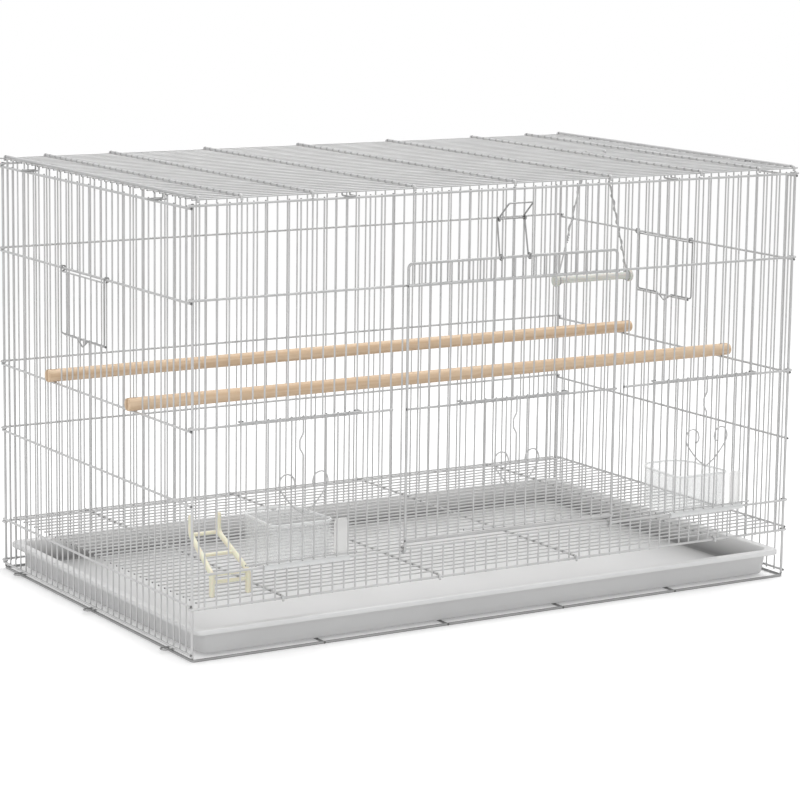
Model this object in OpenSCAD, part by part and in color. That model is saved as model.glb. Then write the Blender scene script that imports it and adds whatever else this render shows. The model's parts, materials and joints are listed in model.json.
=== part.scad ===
// Flight bird cage: welded wire panels, a drop-down main door, three lift-up feeder doors,
// two nest flaps, a slide-out tray, seed cups, perches, a swing and a ladder.

/* [Cage] */
// Distance between the left and right corner posts
cage_w = 765; // [600:5:900]
// Distance between the front and back wire planes
cage_d = 462; // [380:2:560]
// Height of the front and back panels' top rails
top_rail_h = 466.5; // [420:0.5:540]
// Height of the upper rails
upper_rail_h = 371.5; // [346:0.5:388]
// Height of the middle rails, over the feeder doors
middle_rail_h = 241.5; // [232:0.5:258]
// Height of the low rails on the sides and the back
low_rail_h = 165; // [156:0.5:178]
// Height of the sill rail under the doors
sill_rail_h = 90.5; // [84:0.5:97]
// Height of the rails that carry the wire floor
floor_rail_h = 55.5; // [50:0.5:61]
// Height of the side panels' foot rails
foot_rail_h = 7.6; // [7:0.1:9]
// Height of the top panel's long wires above the top rails
roof_lift = 6; // [5:0.5:9]

/* [Wire] */
// Thickness of the upright bars
bar_d = 2; // [1.6:0.1:2.4]
// Thickness of the welded rails
rail_d = 2.6; // [2.2:0.1:3]
// Thickness of posts, door frames and the bottom frame
post_d = 3; // [2.6:0.1:3.4]
// Wanted spacing of the bars
bar_pitch = 13.7; // [12:0.1:18]
// How far a bar sinks into a rail at a weld
weld_sink = 0.4; // [0.2:0.05:0.6]
// Free play between wires that slide or turn on each other
wire_play = 0.45; // [0.3:0.05:0.6]
// Gap between pieces that rest on each other
rest_gap = 0.1; // [0.05:0.01:0.2]
// How far the side panels' posts stand in from the front and back planes
post_inset = 1.4; // [1.2:0.1:2]
// Distance of the outermost front bars from the posts
edge_inset = 7; // [6:0.5:9]
// Length of a rail past the last bar it is welded to
rail_tail = 2; // [1:0.5:4]

/* [Doors] */
// Gap between the main door's frame and the opening's edge bars
door_gap = 3.2; // [3:0.1:6]
// Height of the main door above the upper rail
door_over = 23; // [18:1:30]
// Radius of the main door's top corners
door_corner_r = 9; // [6:0.5:12]
// Height of the main door's foot rail above the sill rail
door_foot = 10; // [9:0.5:14]
// Height of a feeder door's foot bar above the rail below it
feeder_foot = 5.5; // [5:0.5:8]
// Width of the heart pulls
heart_w = 58; // [50:1:64]
// Height of the heart pulls
heart_h = 44; // [36:1:50]
// Height of the hearts' points above the sill rail
heart_lift = 53; // [48:1:60]
// Height of the bump on a feeder door's middle bar
bump_h = 22; // [16:1:28]
// Sideways reach of the bump
bump_reach = 4; // [2.5:0.5:5]
// Gap from the middle rail down to the bump
bump_drop = 14; // [12:1:20]
// Distance between the latch's legs
latch_w = 34; // [28:1:42]
// Height of the latch's legs
latch_h = 41; // [34:1:48]
// Length of the latch's bent lip
latch_lip = 25; // [18:1:30]
// Height of the nest openings
nest_h = 72; // [60:1:90]
// Reach of a nest flap past its opening
nest_over = 4; // [3:0.5:5]
// Drop from the upper rail to a nest flap's top bar
nest_bar_drop = 5; // [4.8:0.1:8]
// Depth of the finger kink in a nest flap's foot wire
nest_kink = 7; // [5:0.5:10]

/* [Tray] */
// Gap on each side between the tray's rim and the posts
tray_gap = 2; // [1.5:0.5:5]
// Height of the tray
tray_h = 29; // [22:1:34]
// How far the tray's walls lean in from rim to bottom
tray_lean = 4; // [3:0.5:10]
// Thickness of the tray
tray_wall = 2; // [1.5:0.1:3]
// Width of the tray's rim
tray_rim_w = 8.5; // [7:0.5:12]
// Height of the rim's turned-down edge
tray_lip_h = 5.5; // [4:0.5:8]
// Corner radius of the tray
tray_corner_r = 12; // [8:1:20]

/* [Fittings] */
// Width of a seed cup's front plate
cup_plate_w = 106; // [92:1:112]
// Width of a seed cup at its front
cup_front_w = 72; // [62:1:80]
// Width of a seed cup at its back
cup_back_w = 60; // [50:1:70]
// Depth of a seed cup from front to back
cup_depth = 82; // [66:1:90]
// Height of a seed cup
cup_h = 47.5; // [40:0.5:56]
// Offset of the seed cups to the right of their doors' middles
cup_shift = 8; // [2:1:12]
// Thickness of a seed cup's wall
cup_wall = 1.8; // [1.4:0.1:2.4]
// Drop of a seed cup's bottom below the sill rail
cup_sink = 6.5; // [5:0.5:9]
// Thickness of the seed cups' hooks
cup_lip_t = 1.4; // [1:0.1:1.8]
// Width of a seed cup's hook
cup_hook_w = 13; // [9:0.5:14]
// Corner radius of a seed cup
cup_corner_r = 12; // [8:0.5:15]
// Diameter of the perches
perch_d = 12; // [10:0.5:14]
// Length of the perch ends outside the side panels
perch_out = 11; // [6:0.5:14]
// Length of the swing from its wire to its bar
swing_drop = 148; // [120:1:170]
// Distance between the swing's two hanging eyes
swing_top_w = 26; // [18:1:36]
// Length of the swing's bar between its end caps
swing_w = 102; // [80:1:120]
// Diameter of the swing's bar
swing_d = 9.5; // [8:0.5:12]
// Diameter of the swing bar's end caps
swing_cap_d = 16; // [13:0.5:19]
// Width of the ladder over its rails at the feet
ladder_w = 48; // [44:1:54]
// Width of the ladder over its rails at the top
ladder_top_w = 38; // [32:1:44]
// Height of the ladder's upright top ends
ladder_top = 21; // [16:1:28]
// Height that the ladder's leaning part climbs
ladder_rise = 30; // [24:1:44]
// Distance that the ladder leans back
ladder_back = 56; // [44:1:64]
// Height of the ladder's upright feet
ladder_foot = 23; // [18:1:27]
// Distance between the ladder's two lowest rungs
ladder_rung_gap = 8; // [6:0.5:10]
// Thickness of the ladder's rails
ladder_rail_d = 5.4; // [4.6:0.2:6]
// Thickness of the ladder's rungs
ladder_rung_d = 4; // [3.4:0.2:5]
// Reach of the clips past the panels
clip_reach = 11; // [8:0.5:14]
// Length of the clips' ends inside the panels
clip_in = 6; // [4:0.5:8]
// Width of a clip
clip_w = 11; // [9:0.5:13]
// Thickness of the clip wire
clip_d = 1.8; // [1.4:0.1:2.2]

/* [Hidden] */
// facets of the straight wires, of the bent eyes and of the round bars
wire_sides = 8;
eye_sides = 12;
round_sides = 48;
// steps in a bent wire's quarter turn
bend_steps = 4;
// extra length of the cuts
overrun = 1;
// thickness of the slices that the tray's walls run between
slice_t = 0.1;
// width over corners as a share of the width over flats
flat_share = 1 / cos(180 / wire_sides);
eye_share = 1 / cos(180 / eye_sides);
// thickness of a bend as a share of its straight wire
bend_share = 0.94;
// depth that a bent end runs into the wire it joins, as a share of its thickness
sink_share = 0.25;

half_w = cage_w / 2;
half_d = cage_d / 2;
// bar grid: a bar in the middle of the front and the back, a space in the middle of each side
front_half_n = round(cage_w / bar_pitch / 2);
front_pitch = half_w / front_half_n;
side_n = 2 * floor(cage_d / bar_pitch / 2) + 1;
side_half_n = floor(side_n / 2);
side_pitch = cage_d / side_n;
// places of the openings and fittings, as shares of the counted spaces
door_half_share = 0.345;
feeder_share = 0.37;
feeder_out_share = 0.855;
nest_low_share = 0.07;
nest_high_share = 0.15;
perch_front_share = 0.27;
perch_rear_share = 0.7;
door_half_n = round(door_half_share * front_half_n);
feeder_n = round(feeder_share * front_half_n);
feeder_half_n = floor(feeder_n / 2);
feeder_out_n = round(feeder_out_share * front_half_n);
nest_low_n = side_half_n - round(nest_low_share * side_n);
nest_high_n = side_half_n + round(nest_high_share * side_n);
perch_front_n = round(perch_front_share * side_n);
perch_rear_n = round(perch_rear_share * side_n);

// from a plane of bars out to the rails welded on it
rail_out = (bar_d + rail_d) / 2 - weld_sink;
rail_y = half_d + rail_out;
side_rail_x = half_w + rail_out;
// the side panels' rails pass this much below the hooks of the front and back ones, at the floor above them
rail_step = rail_d + wire_play;
post_y = half_d - post_inset;
short_tail = bar_d / 2;
edge_bar_x = half_w - edge_inset;
front_rails = [top_rail_h, upper_rail_h, sill_rail_h, floor_rail_h];
back_foot_h = foot_rail_h + rail_step;
back_rails = [top_rail_h, upper_rail_h, middle_rail_h, low_rail_h, floor_rail_h, back_foot_h];
side_drops = [for (h = [top_rail_h, upper_rail_h, middle_rail_h, low_rail_h]) h - rail_step];
side_rails = concat(side_drops, [floor_rail_h + rail_step, foot_rail_h]);
hook_turn = 190;

// top panel
roof_h = top_rail_h + roof_lift;
roof_under = roof_h - bar_d / 2 - rest_gap;
roof_cross_z = roof_h + (bar_d + post_d) / 2 - weld_sink;
roof_tip_y = half_d + (bar_d + post_d) / 2 - weld_sink;
roof_cross_shares = [-0.988, -0.86, -0.646, -0.327, 0, 0.327, 0.646, 0.86, 0.988];

// bottom frame
base_z = post_d / 2;
base_cross_shares = [-0.596, -0.196, 0.196, 0.596];

// main door
door_edge_x = door_half_n * front_pitch;
door_half_w = door_edge_x - door_gap;
door_pitch = door_half_w / door_half_n;
door_y = rail_y + rail_d / 2 + wire_play + post_d / 2;
door_rail_y = door_y + rail_out;
door_top = upper_rail_h + door_over;
door_low = sill_rail_h + door_foot;
eye_in = rail_d / 2 + wire_play;

// latch
latch_d = bar_d;
latch_eye_in = post_d / 2 + wire_play;
latch_y = half_d + bar_d + wire_play;
latch_z = door_top + latch_h;
latch_angle = 37;

// feeder doors: distances out from the plane of the bars they slide on
feeder_bar_out = rail_out + rail_d / 2 + wire_play + cup_lip_t + wire_play + bar_d / 2;
feeder_rod_out = feeder_bar_out + bar_d - weld_sink;
heart_out = feeder_rod_out + bar_d - weld_sink;
feeder_top = middle_rail_h + rail_d / 2 + wire_play + bar_d / 2;
guide_r = bar_d + wire_play;
cup_x = (feeder_out_n - feeder_half_n) * front_pitch;
bump_z = middle_rail_h - bump_drop - bump_h;
heart_z = sill_rail_h + heart_lift;
lobe_share = 0.16;
lobe_r = lobe_share * heart_w;
// heights where a heart's sides turn up and where its inner ends stop
heart_turn_share = 0.62;
heart_end_share = 0.36;
heart_turn_z = heart_turn_share * heart_h;
heart_end_z = heart_end_share * heart_h;
bump_shares = [0.3, 0.7];

// nest flaps
nest_rail_h = upper_rail_h - rail_step;
nest_sill_h = nest_rail_h - nest_h;
nest_low_y = (nest_low_n - side_n / 2) * side_pitch;
nest_high_y = (nest_high_n - side_n / 2) * side_pitch;
nest_mid_y = (nest_low_y + nest_high_y) / 2;
nest_eye_r = eye_in + bar_d / 2;
nest_x = side_rail_x + nest_eye_r;
nest_bar_h = nest_rail_h - nest_bar_drop;
nest_foot_h = nest_sill_h - bar_d;

// tray
tray_half_w = half_w - post_d / 2 - tray_gap;
tray_z = post_d + wire_play;
tray_front = half_d + rail_out;
tray_back = half_d - tray_gap;

// wire floor
floor_cross_z = floor_rail_h + rail_d + rest_gap;
floor_wire_z = floor_cross_z + (rail_d + bar_d) / 2 - weld_sink;
floor_tip_y = rail_y + rail_d + wire_play;
floor_cross_shares = [0.24, 0.74];
floor_cross_n = [for (share = floor_cross_shares) floor(share * front_half_n) + 1 / 2];

// seed cups
cup_z = sill_rail_h - cup_sink;
cup_face = half_d - bar_d;
cup_plate_y = cup_face + wire_play;
cup_hook_z = sill_rail_h + rail_d / 2 + rest_gap;
cup_hook_y = rail_y + rail_d / 2 + wire_play;

// perches
perch_z = middle_rail_h - rail_step + rail_d / 2 + rest_gap + perch_d / 2;
perch_half = half_w + perch_out;
slot_w = bar_d + 2 * wire_play;

// swing
swing_side_share = 0.72;
swing_x = swing_side_share * half_w;
swing_y = side_pitch / 2;
swing_eye_in = bar_d / 2 + wire_play;
swing_ring_in = swing_d / 2 + rest_gap;
swing_z = roof_h - swing_drop;
swing_leg_x = swing_w / 2 - bar_d;
swing_top_x = swing_top_w / 2;
swing_cap_share = 0.25;
swing_cap_t = swing_cap_share * swing_cap_d;
swing_top = roof_h - swing_eye_in - sink_share * bar_d;
swing_leg_z = swing_z + swing_ring_in + sink_share * bar_d;

// ladder
ladder_side_share = -0.858;
ladder_front_share = 0.91;
ladder_x = ladder_side_share * half_w;
ladder_n = round(ladder_front_share * side_half_n);
ladder_y = -ladder_n * side_pitch;
ladder_rail_x = (ladder_w - ladder_rail_d) / 2;
ladder_in = (ladder_w - ladder_top_w) / 2;
ladder_turn = atan(ladder_in / ladder_back);
ladder_run = ladder_back / cos(ladder_turn);
ladder_low = floor_wire_z - sink_share * bar_d;
ladder_bend = floor_wire_z + ladder_foot;
ladder_high = ladder_bend + ladder_rise;
rung_shares = [0, 0.48, 1];

// clips
clip_r = (clip_w - clip_d) / 2;
clip_front_share = 0.541;
clip_side_share = 0.684;
clip_base_share = 0.79;
clip_front_x = round(clip_front_share * half_w / front_pitch) * front_pitch;
clip_side_y = round(clip_side_share * half_d / side_pitch) * side_pitch;
clip_base_y = round(clip_base_share * half_d / side_pitch) * side_pitch;
clip_lift = rail_d / 2 + rest_gap + clip_d / 2;

// origin under the middle of the whole outline, from the latch's lip to the back clips
front_reach = latch_y + latch_lip * cos(latch_angle) + latch_d / 2;
back_reach = half_d + clip_reach + clip_d * bend_share / 2;
frame_y = (front_reach - back_reach) / 2;

// colours
panel_tone = "#c4c4c6";
door_tone = "#cacacc";
clip_tone = "#a4a4a6";
tray_tone = "#c6c6c6";
cup_tone = "#eeeeea";
wood_tone = "#dcb98e";
swing_tone = "#e8e8e0";
ladder_tone = "#e6e2c8";

// each piece in its colour and in the part's own frame
module finished(tone) {
    color(tone) translate([0, frame_y, 0]) children();
}

// straight wires along each axis
module rod_z(x, y, z0, z1, d) {
    translate([x, y, z0])
        rotate(180 / wire_sides)
            cylinder(h = z1 - z0, d = d * flat_share, $fn = wire_sides);
}
module rod_x(x0, x1, y, z, d) {
    translate([x0, y, z])
        rotate([0, 90, 0])
            rotate(180 / wire_sides)
                cylinder(h = x1 - x0, d = d * flat_share, $fn = wire_sides);
}
module rod_y(y0, y1, x, z, d) {
    translate([x, y0, z])
        rotate([-90, 0, 0])
            rotate(180 / wire_sides)
                cylinder(h = y1 - y0, d = d * flat_share, $fn = wire_sides);
}

// bent wires: a path in a plane with a mitred outline
function along(p, q) = (q - p) / norm(q - p);
function left_of(v) = [-v[1], v[0]];
function corner(path, i) =
    i == 0 ? left_of(along(path[0], path[1])) :
    i == len(path) - 1 ? left_of(along(path[i - 1], path[i])) :
    let (a = left_of(along(path[i - 1], path[i])), b = left_of(along(path[i], path[i + 1])))
        (a + b) / (1 + a * b);
function edge_line(path, off) = [for (i = [0 : len(path) - 1]) path[i] + off * corner(path, i)];
function backwards(list) = [for (i = [len(list) - 1 : -1 : 0]) list[i]];
function arc(c, r, a0, a1) =
    let (n = max(2, round(abs(a1 - a0) / 90 * bend_steps)))
        [for (i = [0 : n]) c + r * [cos(a0 + (a1 - a0) * i / n), sin(a0 + (a1 - a0) * i / n)]];
module bent_wire(path, d) {
    half = d * bend_share / 2;
    linear_extrude(d * bend_share, center = true)
        polygon(concat(edge_line(path, half), backwards(edge_line(path, -half))));
}
// an eye round a wire, with flats clear of the hole
module eye(r_in, d) {
    linear_extrude(d * bend_share, center = true)
        difference() {
            circle(r = (r_in + d) * eye_share, $fn = eye_sides);
            circle(r = r_in * eye_share, $fn = eye_sides);
        }
}
// planes for the bent wires: sideways and up, or back and up
module in_xz(y) {
    translate([0, y, 0]) rotate([90, 0, 0]) children();
}
module in_yz(x) {
    translate([x, 0, 0]) rotate([90, 0, 90]) children();
}
module both_sides() {
    for (s = [0, 1]) mirror([s, 0, 0]) children();
}

// rounded outline: each corner of a convex list of points becomes an arc
function rounded(points, r) =
    let (n = len(points))
        [for (i = [0 : n - 1])
            let (u = along(points[i], points[(i + n - 1) % n]), v = along(points[i], points[(i + 1) % n]),
                 half = acos(u * v) / 2, c = points[i] + along([0, 0], u + v) * r / sin(half),
                 a = atan2(-(left_of(u) * along([0, 0], u + v)) * left_of(u)[1],
                           -(left_of(u) * along([0, 0], u + v)) * left_of(u)[0]),
                 turn = 180 - 2 * half)
                for (k = [0 : bend_steps])
                    let (t = a + turn * k / bend_steps) c + r * [cos(t), sin(t)]];

// front and back rails end in hooks round the side panels' posts
module rail_hook(h) {
    translate([0, 0, h])
        bent_wire(concat([[-half_w + rail_d, -rail_y]],
            arc([-half_w, -post_y], rail_y - post_y, 270, 270 - hook_turn)), rail_d);
}
module full_rail(h) {
    rod_x(-half_w, half_w, -rail_y, h, rail_d);
    both_sides() rail_hook(h);
}
module front_bar(k, z0, z1) {
    for (s = k == 0 ? [0] : [-1, 1]) rod_z(s * k * front_pitch, -half_d, z0, z1, bar_d);
}

module front_panel() {
    finished(panel_tone) {
        low = floor_rail_h - rail_tail;
        high = top_rail_h + rail_tail;
        for (h = front_rails) full_rail(h);
        both_sides() {
            rod_x(-half_w, -door_edge_x - front_pitch + rail_tail, -rail_y, middle_rail_h, rail_d);
            rail_hook(middle_rail_h);
            rod_z(edge_bar_x, -half_d, low, high, bar_d);
        }
        for (k = [0 : front_half_n - 1]) {
            in_door = k < door_half_n;
            in_feeder = k > feeder_out_n - feeder_n && k < feeder_out_n;
            if (in_door || in_feeder) {
                front_bar(k, low, sill_rail_h + short_tail);
                front_bar(k, (in_door ? upper_rail_h : middle_rail_h) - rail_tail, high);
            } else {
                front_bar(k, low, high);
            }
        }
    }
}

module back_panel() {
    finished(panel_tone) {
        rotate(180) {
            for (h = back_rails) full_rail(h);
            for (k = [0 : front_half_n - 1])
                front_bar(k, back_foot_h - rail_tail, top_rail_h + rail_tail);
            both_sides() rod_z(edge_bar_x, -half_d, back_foot_h - rail_tail, top_rail_h + rail_tail, bar_d);
        }
    }
}

// right-hand side panel; every second bar reaches up to the top panel
module side_panel() {
    low = foot_rail_h - rail_tail;
    high = top_rail_h - rail_step + rail_tail;
    for (h = side_rails)
        rod_y(-post_y - rail_tail, post_y + rail_tail, side_rail_x, h, rail_d);
    rod_y(nest_low_y - rail_tail, nest_high_y + rail_tail, side_rail_x, nest_sill_h, rail_d);
    for (s = [-1, 1])
        rod_z(half_w, s * post_y, post_d + rest_gap, top_rail_h + rail_tail, post_d);
    for (j = [1 : side_n - 1]) {
        y = (j - side_n / 2) * side_pitch;
        tip = j % 2 == 0 ? roof_under : high;
        if (j > nest_low_n && j < nest_high_n) {
            rod_z(half_w, y, low, nest_sill_h + short_tail, bar_d);
            rod_z(half_w, y, nest_rail_h - short_tail, tip, bar_d);
        } else {
            rod_z(half_w, y, low, tip, bar_d);
        }
    }
}
module left_panel() {
    finished(panel_tone) {
        mirror([1, 0, 0]) side_panel();
    }
}
module right_panel() {
    finished(panel_tone) {
        side_panel();
    }
}

module top_panel() {
    finished(panel_tone) {
        for (j = [0 : side_n])
            rod_x(-half_w - rail_tail, half_w + rail_tail, (j - side_n / 2) * side_pitch, roof_h, bar_d);
        for (share = roof_cross_shares) {
            rod_y(-roof_tip_y, roof_tip_y, share * half_w, roof_cross_z, post_d);
            for (s = [-1, 1])
                rod_z(share * half_w, s * roof_tip_y, roof_h - post_d, roof_cross_z + sink_share * post_d,
                    post_d * bend_share);
        }
    }
}

module bottom_frame() {
    finished(panel_tone) {
        for (s = [-1, 1]) {
            rod_x(-half_w - post_d / 2, half_w + post_d / 2, s * half_d, base_z, post_d);
            rod_y(-half_d, half_d, s * half_w, base_z, post_d * bend_share);
        }
        for (share = base_cross_shares)
            rod_y(-half_d - rail_tail, half_d + rail_tail, share * half_w, base_z, rail_d);
    }
}

module floor_grille() {
    finished(panel_tone) {
        for (k = [-side_half_n : side_half_n])
            rod_x(-edge_bar_x, edge_bar_x, k * side_pitch, floor_wire_z, bar_d);
        for (n = floor_cross_n)
            both_sides() {
                rod_y(-floor_tip_y, floor_tip_y, n * front_pitch, floor_cross_z, rail_d);
                for (s = [-1, 1])
                    rod_z(n * front_pitch, s * floor_tip_y, floor_rail_h - rail_d,
                        floor_cross_z + sink_share * rail_d, rail_d * bend_share);
            }
    }
}

// tray: leaning walls under a flat rim with a turned-down edge
function tray_plan(inset) =
    let (x = tray_half_w - inset, y0 = inset - tray_front, y1 = tray_back - inset)
        rounded([[-x, y0], [x, y0], [x, y1], [-x, y1]], tray_corner_r);
module tray_block(z0, z1, inset0, inset1) {
    hull() {
        translate([0, 0, z0]) linear_extrude(slice_t) polygon(tray_plan(inset0));
        translate([0, 0, z1 - slice_t]) linear_extrude(slice_t) polygon(tray_plan(inset1));
    }
}
module slide_tray() {
    finished(tray_tone) {
        top = tray_z + tray_h;
        lean_in = tray_rim_w + tray_lean;
        difference() {
            union() {
                tray_block(tray_z, top, lean_in, tray_rim_w);
                translate([0, 0, top - tray_wall]) linear_extrude(tray_wall) polygon(tray_plan(0));
                difference() {
                    translate([0, 0, top - tray_lip_h]) linear_extrude(tray_lip_h) polygon(tray_plan(0));
                    translate([0, 0, top - tray_lip_h - overrun])
                        linear_extrude(tray_lip_h) polygon(tray_plan(tray_wall));
                }
            }
            tray_block(tray_z + tray_wall, top + overrun, lean_in + tray_wall, tray_rim_w + tray_wall);
        }
    }
}

module main_door() {
    finished(door_tone) {
        bend = [door_half_w - door_corner_r, door_top - door_corner_r];
        rod_x(-bend[0], bend[0], -door_y, door_top, post_d);
        both_sides() {
            rod_z(door_half_w, -door_y, sill_rail_h, bend[1], post_d);
            in_xz(-door_y)
                bent_wire(concat([[door_half_w, bend[1] - post_d]], arc(bend, door_corner_r, 0, 90),
                    [[bend[0] - post_d, door_top]]), post_d);
            translate([0, -rail_y, sill_rail_h]) in_yz(door_half_w) eye(eye_in, post_d);
        }
        for (h = [door_low, middle_rail_h, upper_rail_h])
            rod_x(-door_half_w - rail_tail, door_half_w + rail_tail, -door_rail_y, h, rail_d);
        for (k = [-door_half_n + 1 : door_half_n - 1]) {
            rail_below = abs(k) < feeder_half_n ? middle_rail_h : door_low;
            rod_z(k * door_pitch, -door_y, rail_below - rail_tail, door_top, bar_d);
        }
    }
}

module door_latch() {
    finished(clip_tone) {
        lip = [-latch_y - latch_lip * cos(latch_angle), latch_z + latch_lip * sin(latch_angle)];
        foot = [-door_y, door_top + latch_eye_in + sink_share * latch_d];
        for (s = [-1, 1]) {
            translate([0, -door_y, door_top]) in_yz(s * latch_w / 2) eye(latch_eye_in, latch_d);
            in_yz(s * latch_w / 2) bent_wire([foot, [-latch_y, latch_z], lip], latch_d);
        }
        rod_x(-latch_w / 2, latch_w / 2, -latch_y, latch_z, latch_d);
        rod_x(-latch_w / 2, latch_w / 2, lip[0], lip[1], latch_d);
    }
}

// lift-up door drawn about the plane of the bars that guide it
function heart_half() =
    let (c = [heart_w / 2 - lobe_r, heart_h - lobe_r])
        concat([[0, 0], [heart_w / 2, heart_turn_z]], arc(c, lobe_r, 0, 180),
            [[heart_w / 2 - 2 * lobe_r, heart_end_z]]);
module feeder_door(pitch, low) {
    half = feeder_half_n * pitch;
    foot = low + feeder_foot;
    rod_x(-half, half, -feeder_bar_out, feeder_top, bar_d);
    rod_x(-half + bar_d, half - bar_d, -feeder_bar_out, foot, bar_d);
    both_sides()
        translate([0, 0, feeder_top])
            bent_wire(concat([[half - bar_d, -feeder_bar_out], [half + guide_r, -feeder_bar_out]],
                arc([half, 0], guide_r, 0, 180)), bar_d);
    for (k = [-feeder_half_n + 1 : feeder_half_n - 1])
        if (k != 0) rod_z(k * pitch, -feeder_rod_out, foot - rail_tail, feeder_top + rail_tail, bar_d);
    rod_z(0, -feeder_rod_out, foot - rail_tail, bump_z, bar_d);
    rod_z(0, -feeder_rod_out, bump_z + bump_h, feeder_top + rail_tail, bar_d);
    in_xz(-feeder_rod_out)
        bent_wire(concat([[0, bump_z - bar_d], [0, bump_z]],
            [for (share = bump_shares) [-bump_reach, bump_z + share * bump_h]],
            [[0, bump_z + bump_h], [0, bump_z + bump_h + bar_d]]), bar_d);
    right = heart_half();
    left = backwards([for (i = [1 : len(right) - 1]) [-right[i][0], right[i][1]]]);
    in_xz(-heart_out) translate([0, heart_z]) bent_wire(concat(left, right), bar_d);
}
module left_feeder_door() {
    finished(door_tone) {
        translate([-cup_x, -half_d, 0]) feeder_door(front_pitch, sill_rail_h);
    }
}
module centre_feeder_door() {
    finished(door_tone) {
        translate([0, -door_y, 0]) feeder_door(door_pitch, door_low);
    }
}
module right_feeder_door() {
    finished(door_tone) {
        translate([cup_x, -half_d, 0]) feeder_door(front_pitch, sill_rail_h);
    }
}

// right-hand nest flap, hung by two eyes on the upper rail
module nest_flap() {
    low_y = nest_low_y - nest_over;
    high_y = nest_high_y + nest_over;
    for (y = [low_y, high_y]) {
        rod_z(nest_x, y, nest_foot_h, nest_rail_h, bar_d);
        translate([side_rail_x, 0, nest_rail_h]) in_xz(y) eye(eye_in, bar_d);
    }
    rod_y(low_y, high_y, nest_x, nest_bar_h, bar_d * bend_share);
    in_yz(nest_x)
        bent_wire([[low_y - sink_share * bar_d, nest_foot_h], [nest_mid_y - nest_kink, nest_foot_h],
            [nest_mid_y, nest_foot_h - nest_kink], [nest_mid_y + nest_kink, nest_foot_h],
            [high_y + sink_share * bar_d, nest_foot_h]], bar_d);
    for (j = [nest_low_n + 1 : nest_high_n - 1])
        rod_z(nest_x, (j - side_n / 2) * side_pitch, nest_foot_h, nest_bar_h, bar_d);
}
module left_nest_door() {
    finished(door_tone) {
        mirror([1, 0, 0]) nest_flap();
    }
}
module right_nest_door() {
    finished(door_tone) {
        nest_flap();
    }
}

// seed cup with a wide front plate hooked over the sill rail
function cup_plan(inset) =
    let (x0 = cup_front_w / 2 - inset, x1 = cup_back_w / 2 - inset, y0 = inset - cup_face,
         y1 = cup_depth - cup_face - inset)
        rounded([[-x0, y0], [x0, y0], [x1, y1], [-x1, y1]], cup_corner_r - inset / 2);
module seed_cup() {
    plate_low = cup_hook_z + cup_lip_t / 2;
    plate_high = cup_z + cup_h - wire_play;
    plate_back = cup_wall / 2 - cup_face;
    hook_x = cup_plate_w / 2 - cup_lip_t - cup_hook_w;
    hook_y = cup_hook_y + cup_lip_t;
    difference() {
        translate([0, 0, cup_z]) linear_extrude(cup_h) polygon(cup_plan(0));
        translate([0, 0, cup_z + cup_wall]) linear_extrude(cup_h) polygon(cup_plan(cup_wall));
    }
    translate([-cup_plate_w / 2, -cup_plate_y, plate_low])
        cube([cup_plate_w, cup_plate_y + plate_back, plate_high - plate_low]);
    both_sides() {
        translate([hook_x, -hook_y, cup_hook_z])
            cube([cup_hook_w, hook_y + plate_back - rest_gap, cup_lip_t]);
        translate([hook_x, -hook_y, sill_rail_h - rail_d])
            cube([cup_hook_w, cup_lip_t, cup_hook_z + cup_lip_t - sill_rail_h + rail_d]);
    }
}
module left_seed_cup() {
    finished(cup_tone) {
        translate([cup_shift - cup_x, 0, 0]) seed_cup();
    }
}
module right_seed_cup() {
    finished(cup_tone) {
        translate([cup_shift + cup_x, 0, 0]) seed_cup();
    }
}

// dowel whose slotted ends straddle a bar of each side panel
module perch(n) {
    slot_x = half_w - bar_d / 2 - wire_play;
    translate([0, (n - side_n / 2) * side_pitch, perch_z])
        difference() {
            rotate([0, 90, 0]) cylinder(h = 2 * perch_half, d = perch_d, center = true, $fn = round_sides);
            both_sides()
                translate([slot_x, -slot_w / 2, -perch_d]) cube([perch_out + perch_d, slot_w, 2 * perch_d]);
        }
}
module front_perch() {
    finished(wood_tone) {
        perch(perch_front_n);
    }
}
module rear_perch() {
    finished(wood_tone) {
        perch(perch_rear_n);
    }
}

module swing_hanger() {
    finished(clip_tone) {
        translate([swing_x, swing_y, 0])
            both_sides() {
                translate([0, 0, roof_h]) in_yz(swing_top_x) eye(swing_eye_in, bar_d);
                in_xz(0) bent_wire([[swing_top_x, swing_top], [swing_leg_x, swing_leg_z]], bar_d);
                translate([0, 0, swing_z]) in_yz(swing_leg_x) eye(swing_ring_in, bar_d);
            }
    }
}
module swing_bar() {
    finished(swing_tone) {
        translate([swing_x, swing_y, swing_z])
            rotate([0, 90, 0]) {
                cylinder(h = swing_w, d = swing_d, center = true, $fn = round_sides);
                for (s = [-1, 1])
                    translate([0, 0, s * (swing_w + swing_cap_t) / 2])
                        cylinder(h = swing_cap_t, d = swing_cap_d, center = true, $fn = round_sides);
            }
    }
}

// ladder: rails with upright feet and tops that close in upwards, grooved feet on a floor wire
module ladder_rung(share, z) {
    reach = ladder_rail_x - share * ladder_in;
    rod_x(ladder_x - reach, ladder_x + reach, ladder_y + share * ladder_back, z, ladder_rung_d);
}
module ladder() {
    finished(ladder_tone) {
        path = [[0, ladder_low], [0, ladder_bend], [ladder_run, ladder_high],
            [ladder_run, ladder_high + ladder_top]];
        difference() {
            translate([ladder_x, ladder_y, 0])
                both_sides()
                    translate([ladder_rail_x, 0, 0])
                        rotate(ladder_turn) in_yz(0) bent_wire(path, ladder_rail_d);
            rod_x(ladder_x - ladder_w, ladder_x + ladder_w, ladder_y, floor_wire_z, bar_d + 2 * rest_gap);
        }
        for (share = rung_shares) ladder_rung(share, ladder_bend + share * ladder_rise);
        ladder_rung(0, ladder_bend - ladder_rung_gap);
    }
}

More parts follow.
